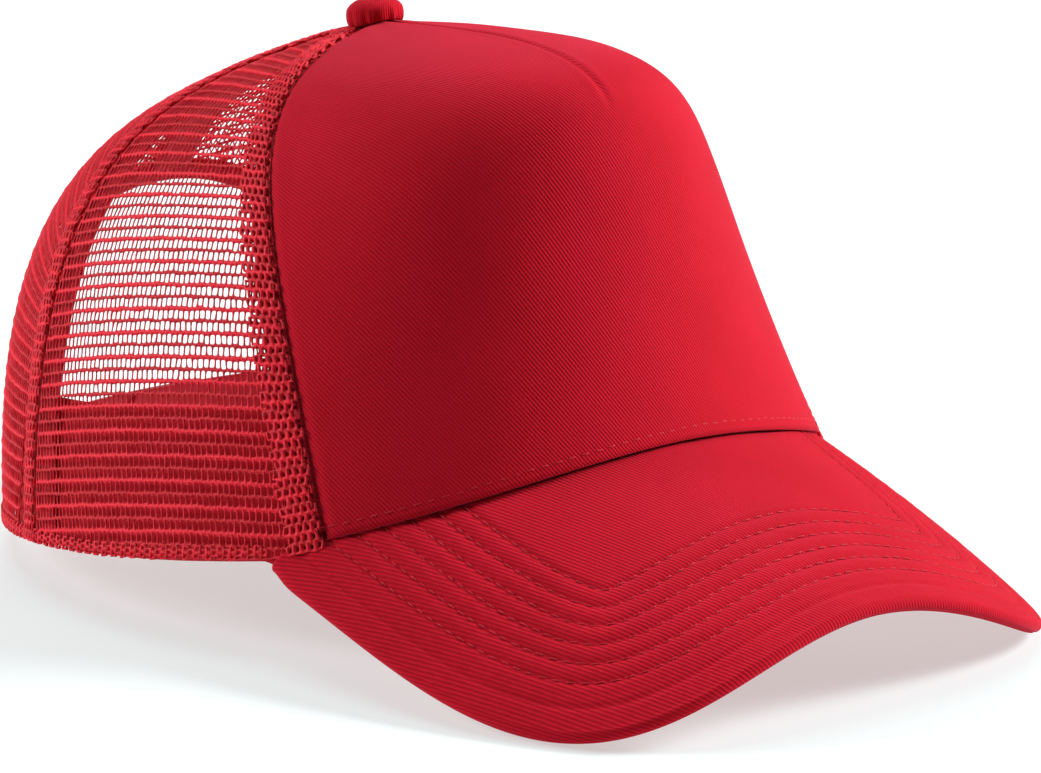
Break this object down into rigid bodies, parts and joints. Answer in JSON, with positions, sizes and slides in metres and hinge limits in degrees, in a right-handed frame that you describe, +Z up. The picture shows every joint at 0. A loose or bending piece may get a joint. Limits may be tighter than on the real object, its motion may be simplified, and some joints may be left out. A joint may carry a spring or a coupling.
{
  "type": "trucker cap",
  "caption": "Cap with a tall one-piece twill front, curved bill, mesh sides and back, and a snap strap across a half-moon rear opening.",
  "frame": {"origin": "on the table the cap stands on, under the middle of its outline", "axes": "+Z up, bill towards -Y, the wearer's right towards -X; the cap stands on the two corners of its bill and its rear strap, so its front is tipped up 8 degrees"},
  "size_m": [0.178, 0.2524, 0.1223],
  "materials": {
    "twill_red": "matte cotton twill",
    "mesh_red": "open polyester mesh",
    "tape_red": "woven tape",
    "sweatband_red": "brushed cotton",
    "buckram_white": "stiffened open weave",
    "board_plastic": "moulded sheet",
    "strap_plastic": "moulded, slightly glossy",
    "button_metal": "plain pressed",
    "label_white": "satin tape, blank"
  },
  "bodies": {
    "cap": {"front_panel": "twill_red", "front_buckram": "buckram_white", "mesh_side_right": "mesh_red", "mesh_side_left": "mesh_red", "mesh_rear_right": "mesh_red", "mesh_rear_left": "mesh_red", "tape_front_right": "tape_red", "tape_front_left": "tape_red", "tape_side_right": "tape_red", "tape_side_left": "tape_red", "tape_rear_centre": "tape_red", "opening_binding": "tape_red", "sweatband_backing": "sweatband_red", "sweatband": "sweatband_red", "care_label": "label_white", "bill_top_fabric": "twill_red", "bill_stiffener": "board_plastic", "bill_rim_roll": "twill_red", "bill_under_fabric": "twill_red", "button_cover": "twill_red", "button_shell": "button_metal", "button_rivet": "button_metal", "strap_tab_right": "strap_plastic", "strap_tab_left": "strap_plastic"},
    "hole_strap": {"strap_with_holes": "strap_plastic"},
    "peg_strap": {"strap_with_pegs": "strap_plastic"}
  },
  "joints": [
    {"name": "hole_strap_opens", "type": "hinge", "parent": "cap", "child": "hole_strap", "pos_m": [-0.04705, 0.1082, 0.00957], "axis": [0, 0.1437, 0.9896], "range_deg": [0, 40], "stiffness_Nm_per_rad": 0.02},
    {"name": "peg_strap_opens", "type": "hinge", "parent": "cap", "child": "peg_strap", "pos_m": [0.04705, 0.1082, 0.00957], "axis": [0, 0.1437, 0.9896], "range_deg": [0, 25], "stiffness_Nm_per_rad": 0.02}
  ]
}
